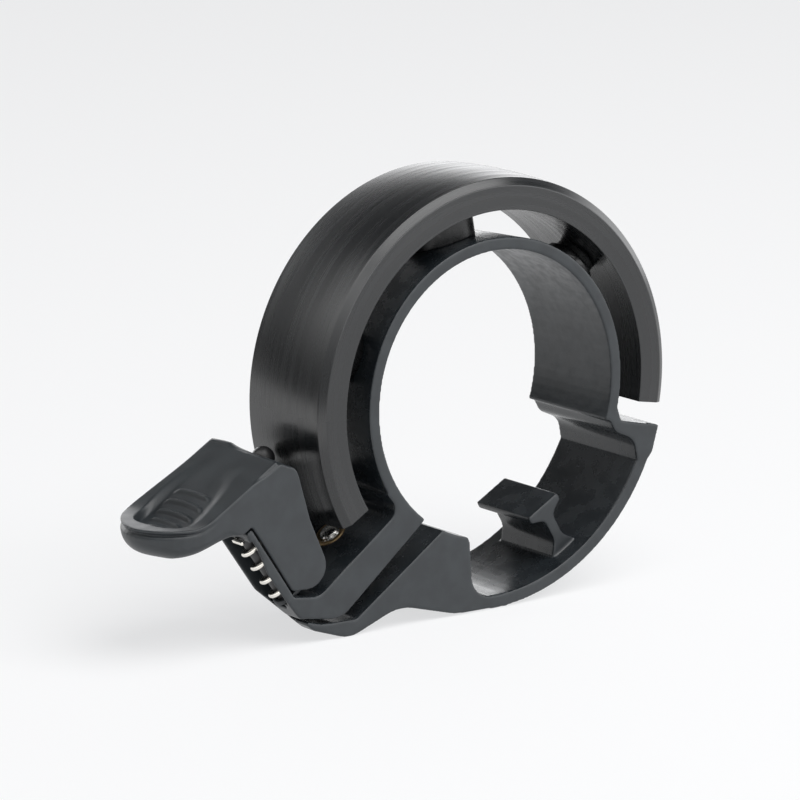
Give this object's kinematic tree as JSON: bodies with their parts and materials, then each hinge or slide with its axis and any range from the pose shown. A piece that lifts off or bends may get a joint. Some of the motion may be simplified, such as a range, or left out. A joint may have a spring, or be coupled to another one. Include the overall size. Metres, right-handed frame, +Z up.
{
  "type": "bicycle bell",
  "caption": "Slim handlebar bell: a C-shaped ring stands round its own bar clamp and is struck by a sprung thumb lever.",
  "frame": {"origin": "on the handlebar's axis, midway across the bell's width", "axes": "+Z up, +Y along the handlebar from the bell's flat front face to its back, +X away from the thumb lever"},
  "size_m": [0.0687, 0.0138, 0.0479],
  "materials": {
    "ring_metal": "black anodised, brushed round the ring",
    "body_nylon": "moulded glass-filled nylon, satin",
    "lever_nylon": "moulded nylon, satin",
    "striker_black": "black",
    "pin_steel": "black oxide",
    "spring_steel": "bright drawn wire",
    "post_black": "gloss black",
    "grommet_rubber": "smooth moulded rubber",
    "insert_brass": "turned",
    "bolt_steel": "zinc plated"
  },
  "bodies": {
    "clamp": {"mount_body": "body_nylon", "sounding_ring": "ring_metal", "pivot_pin": "pin_steel", "return_spring": "spring_steel", "ring_post_right": "post_black", "ring_post_top": "post_black", "ring_post_left": "post_black", "grommet_right": "grommet_rubber", "grommet_top": "grommet_rubber", "grommet_left": "grommet_rubber", "thread_insert": "insert_brass", "clamp_bolt": "bolt_steel", "bolt_washer": "bolt_steel"},
    "thumb_lever": {"lever": "lever_nylon", "striker": "striker_black"}
  },
  "joints": [
    {"name": "lever_pivot", "type": "hinge", "parent": "clamp", "child": "thumb_lever", "pos_m": [-0.03212, -0.0041, -0.01096], "axis": [-0.5736, 0, 0.8192], "range_deg": [-1.5, 24], "stiffness_Nm_per_rad": 0.08, "deforming": ["return_spring"]}
  ]
}
